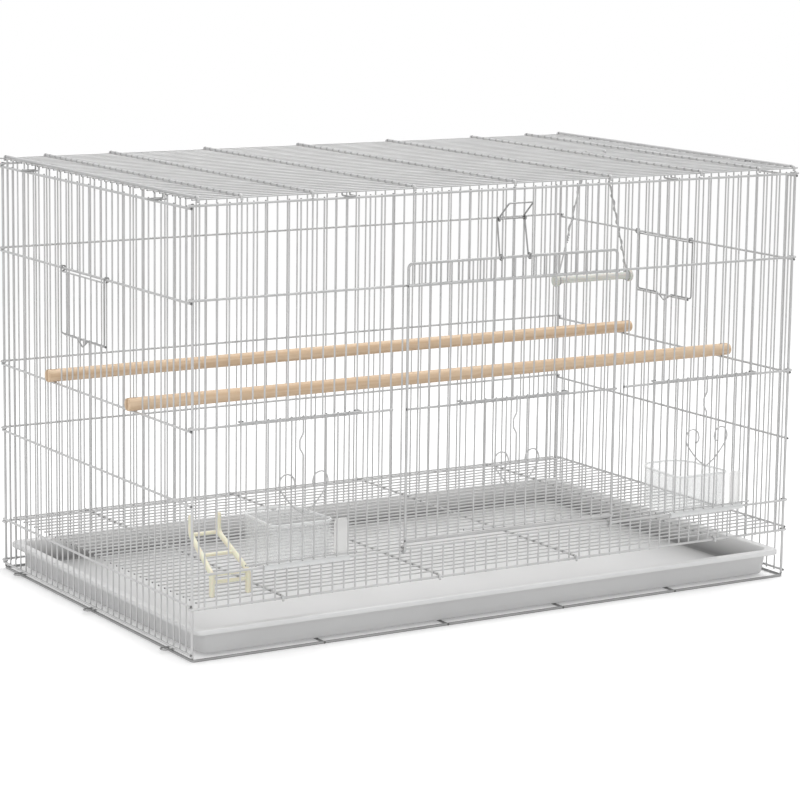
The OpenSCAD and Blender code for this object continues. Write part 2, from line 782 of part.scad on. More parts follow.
// hairpin clip lying flat, reaching out along -Y from its edge
module hairpin(inner) {
    bend = arc([0, clip_r - clip_reach], clip_r, 180, 360);
    bent_wire(concat([[-clip_r, inner]], bend, [[clip_r, inner]]), clip_d);
}
module top_clip(inner, rise) {
    hairpin(inner);
    sunk = sink_share * clip_d;
    for (s = [-1, 1]) rod_z(s * clip_r, inner - sunk, -sunk, rise, clip_d);
}
module top_clips() {
    finished(clip_tone) {
        tip_front = post_d + wire_play;
        tip_side = half_w * (1 - max(roof_cross_shares)) + post_d + wire_play;
        front_z = top_rail_h + clip_lift;
        side_z = top_rail_h - rail_step + clip_lift;
        for (s = [0, 180], x = [-clip_front_x, clip_front_x])
            rotate(s) translate([x, -half_d, front_z]) top_clip(tip_front, roof_h - front_z);
        for (s = [90, 270], y = [-clip_side_y, clip_side_y])
            rotate(s) translate([y, -half_w, side_z]) top_clip(tip_side, roof_cross_z - side_z);
    }
}
module bottom_clips() {
    finished(clip_tone) {
        z = post_d + rest_gap + clip_d / 2;
        for (s = [90, 270], y = [-clip_base_y, 0, clip_base_y])
            rotate(s) translate([y, -half_w, z]) hairpin(clip_in);
        for (x = [-clip_front_x, clip_front_x])
            rotate(180) translate([x, -half_d, z]) hairpin(clip_in);
    }
}

front_panel();
back_panel();
left_panel();
right_panel();
top_panel();
bottom_frame();
floor_grille();
slide_tray();
main_door();
door_latch();
left_feeder_door();
centre_feeder_door();
right_feeder_door();
left_nest_door();
right_nest_door();
left_seed_cup();
right_seed_cup();
front_perch();
rear_perch();
swing_hanger();
swing_bar();
ladder();
top_clips();
bottom_clips();
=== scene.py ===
import json
import math
import bmesh
import bpy
from mathutils import Matrix, Vector


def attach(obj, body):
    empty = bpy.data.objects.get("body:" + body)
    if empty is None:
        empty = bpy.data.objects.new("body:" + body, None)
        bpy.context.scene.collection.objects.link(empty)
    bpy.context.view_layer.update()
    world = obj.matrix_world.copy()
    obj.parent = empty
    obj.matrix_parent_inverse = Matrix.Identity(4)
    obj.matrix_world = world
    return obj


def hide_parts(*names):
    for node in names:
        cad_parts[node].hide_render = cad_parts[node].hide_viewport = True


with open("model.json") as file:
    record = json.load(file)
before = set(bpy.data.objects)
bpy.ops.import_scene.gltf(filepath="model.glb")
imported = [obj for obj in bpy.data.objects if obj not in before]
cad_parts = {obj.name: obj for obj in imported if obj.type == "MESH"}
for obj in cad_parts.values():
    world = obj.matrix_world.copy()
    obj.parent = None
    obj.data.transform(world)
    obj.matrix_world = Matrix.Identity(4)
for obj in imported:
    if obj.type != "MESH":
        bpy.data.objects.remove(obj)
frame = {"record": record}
scene = bpy.context.scene
scene.view_settings.view_transform = "Standard"
mm = 0.001
xDir, yDir, zDir = Vector((1, 0, 0)), Vector((0, 1, 0)), Vector((0, 0, 1))


def newObject(name, data):
    made = bpy.data.objects.new(name, data)
    scene.collection.objects.link(made)
    return made


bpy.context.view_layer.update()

# sizes of the wire work in millimetres, as the construction has them
cage = {
    "wide": 765, "deep": 462, "roofLift": 6,
    "rails": (466.5, 371.5, 241.5, 165, 90.5, 55.5, 7.6),  # heights, from the top one to the foot
    "bar": 2, "rail": 2.6, "post": 3,
    "slim": 0.88,  # bars are shown this much slimmer
    "frontHalf": 28, "sideCount": 33,
    "weldSink": 0.4, "play": 0.45, "rest": 0.1,
    "postInset": 1.4, "edgeInset": 7, "tail": 2,
}
bar, rail, post = cage["bar"], cage["rail"], cage["post"]
topRail, upperRail, middleRail, lowRail, sillRail, floorRail, footRail = cage["rails"]
play, rest, tail, sink = cage["play"], cage["rest"], cage["tail"], cage["weldSink"]
halfWide, halfDeep = cage["wide"] / 2, cage["deep"] / 2
frontHalf, sideCount = cage["frontHalf"], cage["sideCount"]
frontPitch = halfWide / frontHalf
sidePitch = cage["deep"] / sideCount
railOut = (bar + rail) / 2 - sink
weldOut = (bar - sink) / 2
railY = halfDeep + railOut
sideRailX = halfWide + railOut
railStep = rail + play
postY = halfDeep - cage["postInset"]
roofZ = topRail + cage["roofLift"]
roofCrossZ = roofZ + (bar + post) / 2 - sink
restMount = frame["record"]["mounts"][0]["pos_m"]
frameY = restMount[1] / mm + halfDeep  # from the cage's middle to the shared origin

# camera where the photograph was taken from
shot = {"place": (-1701.7, -2743.0, 790.5), "yaw": 31.8176, "pitch": 9.3685, "roll": 0.7664,
        "lens": 129.643, "sensor": 36, "shift": -0.06, "farEnd": 60}


def placeCamera(s):
    yaw, pitch, roll = (math.radians(s[k]) for k in ("yaw", "pitch", "roll"))
    ahead = Vector((math.sin(yaw), math.cos(yaw), 0))
    right = Vector((math.cos(yaw), -math.sin(yaw), 0))
    look = ahead * math.cos(pitch) - zDir * math.sin(pitch)
    top = zDir * math.cos(pitch) + ahead * math.sin(pitch)
    side = right * math.cos(roll) + top * math.sin(roll)
    top = top * math.cos(roll) - right * math.sin(roll)
    lens = bpy.data.cameras.new("photoLens")
    lens.lens, lens.sensor_width = s["lens"], s["sensor"]
    lens.shift_y = s["shift"]
    lens.clip_end = s["farEnd"]
    cam = newObject("photoCamera", lens)
    turn = Matrix((side, top, -look)).transposed()
    cam.matrix_world = Matrix.Translation(Vector(s["place"]) * mm) @ turn.to_4x4()
    scene.camera = cam


placeCamera(shot)
print("camera placed")


def newFinish(name):
    mat = bpy.data.materials.new(name)
    mat.use_nodes = True
    return mat, mat.node_tree, mat.node_tree.nodes["Principled BSDF"]


def feed(tree, made, values):
    # an output is linked, anything else is set on the socket itself
    for key, value in values.items():
        if isinstance(value, bpy.types.NodeSocket):
            tree.links.new(value, made.inputs[key])
        else:
            made.inputs[key].default_value = value
    return made


def node(tree, kind, values=None, **settings):
    made = tree.nodes.new(kind)
    for key, value in settings.items():
        setattr(made, key, value)
    return feed(tree, made, values or {})


def grainMap(tree, scale=(1, 1, 1)):
    coords = node(tree, "ShaderNodeTexCoord").outputs["Object"]
    return node(tree, "ShaderNodeMapping", {"Vector": coords, "Scale": scale}).outputs["Vector"]


def noise(tree, vector, scale, detail=3.0, rough=0.55):
    values = {"Vector": vector, "Scale": scale, "Detail": detail, "Roughness": rough}
    return node(tree, "ShaderNodeTexNoise", values).outputs["Fac"]


def ramp(tree, value, stops):
    made = node(tree, "ShaderNodeValToRGB", {"Fac": value})
    for stop, (place, tone) in zip(made.color_ramp.elements, stops):
        stop.position, stop.color = place, (*tone, 1)
    return made.outputs["Color"]


def spread(tree, value, low, high):
    values = {"Value": value, "To Min": low, "To Max": high}
    return node(tree, "ShaderNodeMapRange", values).outputs["Result"]


def bump(tree, height, strength, depth):
    values = {"Height": height, "Strength": strength, "Distance": depth}
    return node(tree, "ShaderNodeBump", values).outputs["Normal"]


def times(tree, value, factor):
    return node(tree, "ShaderNodeMath", {0: value, 1: factor}, operation="MULTIPLY").outputs[0]


def blended(tree, share, base, over):
    # sockets of the colour kind of Mix: share, first and second colour
    values = {0: share, 6: base, 7: (*over, 1)}
    return node(tree, "ShaderNodeMix", values, data_type="RGBA").outputs[2]


def attribute(tree, name):
    return node(tree, "ShaderNodeAttribute", attribute_name=name).outputs["Fac"]


def grey(v):
    return (v, v, v)


def cloudy(tone, share):
    return [(0.3, grey(tone * (1 - share))), (0.7, grey(tone * (1 + share)))]


# powder coat on the wires: fine orange peel, cloudy tone, cut ends near black as bare steel deepened by
# painted contact shade, and painted shade at the cross wires' welds
wireCoat = {"tone": 0.56, "bareAndShaded": 0.1, "cloud": 28, "peel": 1400, "rough": (0.3, 0.46), "metal": 0.15}
# zinc on the doors, the hearts and the swing's hanger
doorCoat = {"tone": 0.5, "bareAndShaded": 0.1, "cloud": 40, "peel": 1800, "rough": (0.28, 0.42), "metal": 0.3}
# darker spring wire of the clips, the latch, the nest flaps' frames and the base
clipCoat = {"tone": 0.34, "bareAndShaded": 0.08, "cloud": 60, "peel": 2200, "rough": (0.26, 0.4), "metal": 0.6}


def makeWireCoat(name, s):
    mat, tree, shader = newFinish(name)
    vector = grainMap(tree)
    cloud = noise(tree, vector, s["cloud"], 2)
    peel = noise(tree, vector, s["peel"], 2)
    coat = ramp(tree, cloud, cloudy(s["tone"], 0.07))
    feed(tree, shader, {
        # the cut attribute darkens the cut ends (bare steel with painted contact shade) and lays painted
        # shade at the welds
        "Base Color": blended(tree, attribute(tree, "cut"), coat, grey(s["bareAndShaded"])),
        "Roughness": spread(tree, peel, *s["rough"]),
        "Normal": bump(tree, peel, strength=0.12, depth=0.0002),
        "Metallic": s["metal"],
    })
    return mat


# moulded tray: grey plastic with a fine spark-eroded grain and faint scuffs, and painted shade: dark on
# its inner walls and on the floor near them, a little on its outer walls and rim; inside is the tone of
# that painted shade
trayCoat = {"tone": 0.74, "inside": 0.2, "grain": 2600, "cloud": 6, "scuff": (14, 160, 60), "worn": 0.35,
            "rough": (0.28, 0.42), "coat": 0.3, "coatRough": 0.16}


def makeTrayCoat(name, s):
    mat, tree, shader = newFinish(name)
    vector = grainMap(tree)
    grain = noise(tree, vector, s["grain"], 2)
    cloud = noise(tree, vector, s["cloud"])
    scuff = noise(tree, grainMap(tree, s["scuff"]), 1, 6, 0.7)
    worn = times(tree, ramp(tree, scuff, [(0.62, grey(0)), (0.78, grey(1))]), s["worn"])
    tone = blended(tree, worn, ramp(tree, cloud, cloudy(s["tone"], 0.03)), grey(s["tone"] * 1.12))
    feed(tree, shader, {
        # the shade attribute paints shade: towards the inside tone on the inner walls, fading out over
        # the floor
        "Base Color": blended(tree, attribute(tree, "shade"), tone, grey(s["inside"])),
        "Roughness": spread(tree, scuff, *s["rough"]),
        "Normal": bump(tree, grain, strength=0.1, depth=0.0003),
        "Coat Weight": s["coat"],
        "Coat Roughness": s["coatRough"],
    })
    return mat


# clear seed cups: a thin milky film that lets most of the light through, denser on the rim and the wing
cupBase = {"cloud": 22, "grain": 130, "stops": (0.25, 0.75), "deep": 0.96, "bump": (0.05, 0.0006)}
cupFilms = {
    "cupPlastic": {"tone": (0.88, 0.89, 0.89), "rough": (0.1, 0.24), "sockets": {"Alpha": 0.22}},
    "cupRim": {"tone": (0.86, 0.87, 0.87), "rough": (0.12, 0.26), "sockets": {"Alpha": 0.7}},
    "cupFront": {"tone": (0.94, 0.95, 0.95), "rough": (0.1, 0.2), "sockets": {"Alpha": 0.05}},
    "cupWing": {"tone": (0.94, 0.94, 0.93), "rough": (0.14, 0.3), "sockets": {"Alpha": 0.5}},
}
# pale moulded plastic of the ladder and of the swing's bar
paleBase = {"stops": (0.3, 0.7), "deep": 0.93, "bump": (0.08, 0.0003),
            "sockets": {"Subsurface Weight": 0.12, "Subsurface Scale": 0.002}}
ladderCoat = {**paleBase, "tone": (0.85, 0.815, 0.64), "cloud": 35, "grain": 900, "rough": (0.3, 0.42)}
swingCoat = {**paleBase, "tone": (0.7, 0.7, 0.65), "cloud": 40, "grain": 1100, "rough": (0.38, 0.52)}


def makePlasticCoat(name, s):
    mat, tree, shader = newFinish(name)
    vector = grainMap(tree)
    cloud = noise(tree, vector, s["cloud"])
    grain = noise(tree, vector, s["grain"], 2)
    tones = [v * s["deep"] for v in s["tone"]], s["tone"]
    feed(tree, shader, {
        "Base Color": ramp(tree, cloud, zip(s["stops"], tones)),
        "Roughness": spread(tree, cloud, *s["rough"]),
        "Normal": bump(tree, grain, *s["bump"]),
        **s["sockets"],
    })
    return mat


# sanded beech dowel: long grain along the perch with short dark flecks
beechCoat = {"pale": (0.745, 0.565, 0.395), "deep": (0.605, 0.415, 0.255), "fleck": (0.42, 0.25, 0.12),
             "grain": (3.5, 210, 210), "flecks": (55, 900, 900), "marks": 0.45, "rough": (0.5, 0.66)}


def makeBeechCoat(name, s):
    mat, tree, shader = newFinish(name)
    grain = noise(tree, grainMap(tree, s["grain"]), 1, 5, 0.6)
    fleck = noise(tree, grainMap(tree, s["flecks"]), 1, 2, 0.5)
    tone = ramp(tree, grain, [(0.32, s["deep"]), (0.62, s["pale"])])
    marks = times(tree, ramp(tree, fleck, [(0.66, grey(0)), (0.76, grey(1))]), s["marks"])
    feed(tree, shader, {
        "Base Color": blended(tree, marks, tone, s["fleck"]),
        "Roughness": spread(tree, grain, *s["rough"]),
        "Normal": bump(tree, fleck, strength=0.18, depth=0.0003),
    })
    return mat


wirePaint = makeWireCoat("wirePowderCoat", wireCoat)
doorZinc = makeWireCoat("doorZinc", doorCoat)
clipZinc = makeWireCoat("clipZinc", clipCoat)
trayPlastic = makeTrayCoat("trayPlastic", trayCoat)
cupPlastic, cupRim, cupFront, cupWing = (
    makePlasticCoat(name, {**cupBase, **film}) for name, film in cupFilms.items())
beechWood = makeBeechCoat("beechWood", beechCoat)
ladderPlastic = makePlasticCoat("ladderPlastic", ladderCoat)
swingPlastic = makePlasticCoat("swingPlastic", swingCoat)
print("finishes made")


def makeWireTree():
    # sweeps a round section along every chain of edges and sets a weld nugget on every marked point
    tree = bpy.data.node_groups.new("weldedWire", "GeometryNodeTree")
    for name, kind in (("Paths", "Geometry"), ("Sides", "Int"), ("Finish", "Material")):
        tree.interface.new_socket(name, in_out="INPUT", socket_type="NodeSocket" + kind)
    tree.interface.new_socket("Wires", in_out="OUTPUT", socket_type="NodeSocketGeometry")
    given = tree.nodes.new("NodeGroupInput").outputs
    thick, weld = (
        node(tree, "GeometryNodeInputNamedAttribute", {"Name": name}, data_type=kind).outputs["Attribute"]
        for name, kind in (("thick", "FLOAT"), ("weld", "BOOLEAN")))
    path = node(tree, "GeometryNodeMeshToCurve", {"Mesh": given["Paths"]})
    ring = node(tree, "GeometryNodeCurvePrimitiveCircle", {"Resolution": given["Sides"], "Radius": 1})
    sweep = node(tree, "GeometryNodeCurveToMesh", {
        "Curve": path.outputs["Curve"], "Profile Curve": ring.outputs["Curve"],
        "Scale": thick, "Fill Caps": True})
    nugget = node(tree, "GeometryNodeMeshUVSphere", {"Segments": 8, "Rings": 5, "Radius": 1})
    beads = node(tree, "GeometryNodeInstanceOnPoints", {
        "Points": given["Paths"], "Selection": weld, "Instance": nugget.outputs["Mesh"], "Scale": thick})
    both = node(tree, "GeometryNodeJoinGeometry", {"Geometry": beads.outputs["Instances"]})
    feed(tree, both, {"Geometry": sweep.outputs["Mesh"]})
    whole = both.outputs["Geometry"]
    for kind in ("RealizeInstances", "SetShadeSmooth"):
        whole = node(tree, "GeometryNode" + kind, {"Geometry": whole}).outputs["Geometry"]
    finish = node(tree, "GeometryNodeSetMaterial", {"Geometry": whole, "Material": given["Finish"]})
    node(tree, "NodeGroupOutput", {"Wires": finish.outputs["Geometry"]})
    return tree


wireTree = makeWireTree()
wireSockets = {item.name: item.identifier for item in wireTree.interface.items_tree}


def sweptMesh(source, sides, finish):
    maker = newObject("wireMaker", source)
    mod = maker.modifiers.new("sweep", "NODES")
    mod.node_group = wireTree
    mod[wireSockets["Sides"]] = sides
    mod[wireSockets["Finish"]] = finish
    graph = bpy.context.evaluated_depsgraph_get()
    mesh = bpy.data.meshes.new_from_object(
        maker.evaluated_get(graph), preserve_all_data_layers=True, depsgraph=graph)
    bpy.data.objects.remove(maker)
    bpy.data.meshes.remove(source)
    return mesh


def newWork():
    return {"wires": [], "welds": []}


def wire(work, points, size, closed=False, marks=None):
    work["wires"].append(([Vector(p) for p in points], size, closed, marks))


def alongX(work, half, y, z, size):
    wire(work, [(-half, y, z), (half, y, z)], size)


def alongY(work, x, start, end, z, size):
    wire(work, [(x, start, z), (x, end, z)], size)


def upright(work, x, y, low, high, size):
    wire(work, [(x, y, low), (x, y, high)], size)


# painted shade on a wire at a weld: half its length, the share of that in full tone, and the tone
paintedWeldShade = {"reach": 2.2, "core": 0.45, "tone": 0.45}


def weldShadedWire(work, start, end, places, size):
    # straight wire with painted shade at its welds, given as lengths along it
    start, end = Vector(start), Vector(end)
    way = (end - start).normalized()
    reach, core, tone = paintedWeldShade["reach"], paintedWeldShade["reach"] * paintedWeldShade["core"], paintedWeldShade["tone"]
    steps = ((-reach, 0), (-core, tone), (core, tone), (reach, 0))
    spots = [(0, 0)] + [(place + step, mark) for place in places for step, mark in steps]
    spots.append(((end - start).length, 0))
    wire(work, [start + way * spot for spot, mark in spots], size, marks=[mark for spot, mark in spots])


def welded(work, place, size):
    work["welds"].append((Vector(place), size))


def moved(work, change):
    wires = [([change(p) for p in points], *others) for points, *others in work["wires"]]
    return {"wires": wires, "welds": [(change(p), size) for p, size in work["welds"]]}


def mirrored(work, flip=-1):
    return moved(work, lambda p: Vector((flip * p.x, p.y, p.z)))


def shifted(work, x, y):
    return moved(work, lambda p: p + Vector((x, y, 0)))


def hoop(centre, u, v, radius, start, end, steps=None):
    steps = steps or max(3, round(abs(end - start) / 18))
    centre = Vector(centre)
    angles = [math.radians(start + (end - start) * k / steps) for k in range(steps + 1)]
    return [centre + radius * (math.cos(a) * u + math.sin(a) * v) for a in angles]


def softPath(points, radius, steps=5, closed=False):
    # rounds the corners of a path, each with its own radius where a list is given
    points = [Vector(p) for p in points]
    path = []
    for i, p in enumerate(points):
        back, on = points[i - 1] - p, points[(i + 1) % len(points)] - p
        isEnd = not closed and i in (0, len(points) - 1)
        turn = 0 if isEnd else math.pi - back.angle(on)
        if turn < 0.02:  # as good as straight
            path.append(p)
            continue
        bend = radius[i] if isinstance(radius, list) else radius
        cut = min(bend * math.tan(turn / 2), back.length * 0.49, on.length * 0.49)
        back.normalize()
        on.normalize()
        middle = p + (back + on).normalized() * (cut / math.sin(turn / 2))
        arm = p + back * cut - middle
        axis = arm.cross(p + on * cut - middle).normalized()
        path += [middle + Matrix.Rotation(turn * k / steps, 3, axis) @ arm for k in range(steps + 1)]
    return path


def eyedWire(work, eyes, corners, bend, size, steps=5):
    # bent wire with a curled eye at both ends
    first, last = eyes
    run = softPath([first[0], *corners, last[0]], bend, steps)
    wire(work, first[:0:-1] + run + last[1:], size)


def boxed(x0, x1, y0, y1, z):
    return [(x0, y0, z), (x1, y0, z), (x1, y1, z), (x0, y1, z)]


def placed(p):
    return (Vector(p) + frameY * yDir) * mm


# cut end of a wire: places along its last stretch, how dark it is there (bare steel with painted contact
# shade), and the tip's radius
cutEnd = {"places": (0, 0.18, 0.3, 0.7), "bareAndShaded": [0.9, 0.8, 0.5, 0], "tip": 0.33, "share": 0.4}


def wireMesh(work):
    # each wire is a chain of edges with chamfered cut ends; each weld is a lone point
    verts, edges, thick, cut, weld = [], [], [], [], []
    for points, size, closed, marks in work["wires"]:
        size *= cage["slim"] if size == bar else 1
        radii = [size / 2] * len(points)
        marks = marks or [0.0] * len(points)
        if not closed:
            ends = []
            for p, q in ((points[0], points[1]), (points[-1], points[-2])):
                step = min(size, (q - p).length * cutEnd["share"])
                ends.append([p + (q - p).normalized() * step * place for place in cutEnd["places"]])
            points = ends[0] + points[1:-1] + ends[1][::-1]
            tip = [size * cutEnd["tip"]]
            radii = tip + [size / 2] * (len(points) - 2) + tip
            # the cut ends darken: bare steel with painted contact shade
            marks = cutEnd["bareAndShaded"] + marks[1:-1] + cutEnd["bareAndShaded"][::-1]
        base = len(verts)
        verts += [placed(p)[:] for p in points]
        edges += [(base + i, base + i + 1) for i in range(len(points) - 1)]
        if closed:
            edges.append((base + len(points) - 1, base))
        thick += [r * mm for r in radii]
        cut += marks
        weld += [False] * len(points)
    for p, size in work["welds"]:
        verts.append(placed(p)[:])
        thick.append(size * mm)
        cut.append(0.0)
        weld.append(True)
    mesh = bpy.data.meshes.new("wirePaths")
    mesh.from_pydata(verts, edges, [])
    for label, kind, values in (
        ("thick", "FLOAT", thick), ("cut", "FLOAT", cut), ("weld", "BOOLEAN", weld),
    ):
        mesh.attributes.new(label, kind, "POINT").data.foreach_set("value", values)
    return mesh


def tidyMesh(mesh, angle=40):
    bm = bmesh.new()
    bm.from_mesh(mesh)
    bmesh.ops.remove_doubles(bm, verts=bm.verts, dist=1e-7)
    bmesh.ops.recalc_face_normals(bm, faces=bm.faces)
    for face in bm.faces:
        face.smooth = True
    bm.to_mesh(mesh)
    bm.free()
    mesh.set_sharp_from_angle(angle=math.radians(angle))
    return mesh


def addPiece(name, mesh, body, slot, *nodes):
    mesh.name = name
    piece = newObject(name, mesh)
    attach(piece, body)
    if nodes:
        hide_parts(*nodes)


def addWires(name, work, body, finish, *nodes, slot="wire", sides=10):
    mesh = sweptMesh(wireMesh(work), sides, finish)
    for label in ("thick", "weld"):
        if label in mesh.attributes:
            mesh.attributes.remove(mesh.attributes[label])
    addPiece(name, tidyMesh(mesh), body, slot, *nodes)
    print("wires:", name, len(mesh.polygons), "faces")


# front panel: uprights cut away round the doors, rails hooked round the corner posts
frontPanel = {"doorHalf": 10, "feederOut": 24, "feederHalf": 5, "hookTurn": 190, "nugget": 1.14}
doorHalf, feederHalf, feederOut = (frontPanel[k] for k in ("doorHalf", "feederHalf", "feederOut"))
hookR = railY - postY
doorEdge = doorHalf * frontPitch
edgeBarX = halfWide - cage["edgeInset"]


def hookRound(side, z):
    turned = 270 + side * frontPanel["hookTurn"]
    return hoop((side * halfWide, -postY, z), xDir, yDir, hookR, 270, turned)


def fullRail(work, z):
    wire(work, hookRound(-1, z)[::-1] + hookRound(1, z), rail)


def panelBar(work, x, y, low, high, rails, out):
    # upright with a weld on every rail it crosses, on the side that out points to
    upright(work, x, y, low, high, bar)
    for z in rails:
        if low <= z <= high:
            welded(work, Vector((x, y, z)) + weldOut * out, frontPanel["nugget"])


def frontUpright(work, x, low, high, rails):
    for s in (-1, 1) if x else (1,):
        panelBar(work, s * x, -halfDeep, low, high, rails, -yDir)


def makeFront():
    work = newWork()
    rails = [topRail, upperRail, sillRail, floorRail]
    for z in rails:
        fullRail(work, z)
    stop = doorEdge + frontPitch - tail
    for s in (-1, 1):
        wire(work, [(s * stop, -railY, middleRail)] + hookRound(s, middleRail), rail)
    low, high = floorRail - tail, topRail + tail
    frontUpright(work, edgeBarX, low, high, rails + [middleRail])
    for k in range(frontHalf):
        x = k * frontPitch
        inDoor, inFeeder = k < doorHalf, feederOut - 2 * feederHalf < k < feederOut
        if inDoor or inFeeder:
            upper = (upperRail if inDoor else middleRail) - tail
            frontUpright(work, x, low, sillRail + bar / 2, rails)
            frontUpright(work, x, upper, high, rails + [middleRail] * inFeeder)
        else:
            frontUpright(work, x, low, high, rails + [middleRail] * (k > doorHalf))
    return work


addWires("frontPanelWire", makeFront(), "cage", wirePaint, "front_panel")


# back panel: the same build, closed all over and down to its own foot rail
def makeBack():
    work = newWork()
    foot = footRail + railStep
    rails = [topRail, upperRail, middleRail, lowRail, floorRail, foot]
    for z in rails:
        fullRail(work, z)
    for x in [edgeBarX] + [k * frontPitch for k in range(frontHalf)]:
        frontUpright(work, x, foot - tail, topRail + tail, rails)
    return moved(work, lambda p: Vector((-p.x, -p.y, p.z)))


addWires("backPanelWire", makeBack(), "cage", wirePaint, "back_panel")

# side panels: every second upright runs on up to the roof
sidePanel = {"nestLow": 14, "nestHigh": 21, "nestTall": 72}
nestLow, nestHigh = sidePanel["nestLow"], sidePanel["nestHigh"]
nestRail = upperRail - railStep
nestSill = nestRail - sidePanel["nestTall"]


def sideBarY(j):
    return (j - sideCount / 2) * sidePitch


def makeSide():
    work = newWork()
    rails = [z - railStep for z in (topRail, upperRail, middleRail, lowRail)]
    rails += [floorRail + railStep, footRail]
    reach = postY + tail
    for z in rails:
        alongY(work, sideRailX, -reach, reach, z, rail)
    alongY(work, sideRailX, sideBarY(nestLow) - tail, sideBarY(nestHigh) + tail, nestSill, rail)
    for s in (-1, 1):
        upright(work, halfWide, s * postY, post + rest, topRail + tail, post)
    low, high = footRail - tail, rails[0] + tail
    roofUnder = roofZ - bar / 2 - rest
    for j in range(1, sideCount):
        y = sideBarY(j)
        tip = roofUnder if j % 2 == 0 else high
        spans = [(low, tip)]
        if nestLow < j < nestHigh:
            spans = [(low, nestSill + bar / 2), (nestRail - bar / 2, tip)]
        touching = rails + [nestSill] * (nestLow <= j <= nestHigh)
        for z0, z1 in spans:
            panelBar(work, halfWide, y, z0, z1, touching, xDir)
    return work


sideWork = makeSide()
addWires("rightPanelWire", sideWork, "cage", wirePaint, "right_panel")
addWires("leftPanelWire", mirrored(sideWork), "cage", wirePaint, "left_panel")

# roof: long wires under nine stout cross wires with turned-down ends
roof = {"cross": (-0.988, -0.86, -0.646, -0.327, 0, 0.327, 0.646, 0.86, 0.988), "bend": 2.4, "turn": 4,
        "nugget": 1.15, "clean": 0.95}


def crossWire(work, x, tipY, foot, z, bend, size, places):
    # turned down at both ends, with painted shade where the long wires cross it
    inner = tipY - roof["turn"]
    for s in (-1, 1):
        wire(work, softPath([(x, s * tipY, foot), (x, s * tipY, z), (x, s * inner, z)], bend), size)
    weldShadedWire(work, (x, -inner, z), (x, inner, z), [inner + y for y in places], size)


def makeRoof():
    work = newWork()
    tipY = halfDeep + (bar + post) / 2 - sink
    crossX = [share * halfWide for share in roof["cross"]]
    for j in range(sideCount + 1):
        y = sideBarY(j)
        alongX(work, halfWide + tail, y, roofZ, bar)
        for x in crossX:
            welded(work, (x, y, roofZ + weldOut), roof["nugget"])
    for x in crossX:
        # the outermost wires get no painted shade
        places = [sideBarY(j) for j in range(1, sideCount) if abs(x) < roof["clean"] * halfWide]
        crossWire(work, x, tipY, roofZ - post, roofCrossZ, roof["bend"], post, places)
    return work


addWires("roofPanelWire", makeRoof(), "cage", wirePaint, "top_panel")

# bottom frame and wire floor
floorWork = {"baseCross": (-0.596, -0.196, 0.196, 0.596), "gridCross": (6.5, 20.5), "corner": 3.4,
             "bend": 2.2, "nugget": 1.2}
gridCrossZ = floorRail + rail + rest
gridZ = gridCrossZ + (rail + bar) / 2 - sink


def makeBase():
    work = newWork()
    z = post / 2
    corners = boxed(-halfWide, halfWide, -halfDeep, halfDeep, z)
    wire(work, softPath(corners, floorWork["corner"], closed=True), post, closed=True)
    for share in floorWork["baseCross"]:
        x = share * halfWide
        alongY(work, x, -halfDeep - tail, halfDeep + tail, z, rail)
        for s, side in ((-1, -1), (-1, 1), (1, -1), (1, 1)):
            welded(work, (x + side * rail / 2, s * (halfDeep - post / 2), z), floorWork["nugget"])
    return work


def makeGrid():
    work = newWork()
    tipY = railY + rail + play
    half = sideCount // 2
    rows = [k * sidePitch for k in range(-half, half + 1)]
    crossX = [s * n * frontPitch for n in floorWork["gridCross"] for s in (-1, 1)]
    for y in rows:
        alongX(work, edgeBarX, y, gridZ, bar)
        for x in crossX:
            welded(work, (x, y, gridCrossZ + (rail - sink) / 2), frontPanel["nugget"])
    for x in crossX:
        crossWire(work, x, tipY, floorRail - rail, gridCrossZ, floorWork["bend"], rail, rows)
    return work


addWires("baseFrameWire", makeBase(), "cage", clipZinc, "bottom_frame")
addWires("floorGridWire", makeGrid(), "cage", wirePaint, "floor_grille")

# main door: one bent frame wire that curls round the sill rail, three rails and its bars
mainDoor = {"gap": 3.2, "over": 23, "corner": 5, "foot": 10, "curl": 310, "nugget": 1.5}
doorHalfW = doorEdge - mainDoor["gap"]
doorPitch = doorHalfW / doorHalf
doorY = railY + rail / 2 + play + post / 2
doorRailY = doorY + railOut
doorTop = upperRail + mainDoor["over"]
doorLow = sillRail + mainDoor["foot"]


def makeDoor():
    work = newWork()
    eyeR = rail / 2 + play + post / 2
    curls = []
    for s in (-1, 1):
        eye = (s * doorHalfW, -railY, sillRail)
        curls.append(hoop(eye, yDir, zDir, eyeR, 180, 180 + mainDoor["curl"]))
    corners = [(s * doorHalfW, -doorY, doorTop) for s in (-1, 1)]
    eyedWire(work, curls, corners, mainDoor["corner"], post, 8)
    rails = (doorLow, middleRail, upperRail)
    for z in rails:
        alongX(work, doorHalfW + tail, -doorRailY, z, rail)
        for s in (-1, 1):
            welded(work, (s * doorHalfW, sink - doorY - post / 2, z), mainDoor["nugget"])
    for k in range(1 - doorHalf, doorHalf):
        low = (middleRail if abs(k) < feederHalf else doorLow) - tail
        panelBar(work, k * doorPitch, -doorY, low, doorTop, rails, -yDir)
    return work


addWires("mainDoorWire", makeDoor(), "main_door", doorZinc, "main_door", sides=12)

# latch: a sprung bail that curls round the door's top wire, coils at its bend and ends in a finger lip
latch = {"wide": 36.5, "topWide": 35, "tall": 41, "lean": 5, "curl": 300, "lip": 26.5, "angle": 44,
         "coil": 2.1, "coilTurn": 413, "step": 2.2, "bend": 2.6, "axleOver": 1}


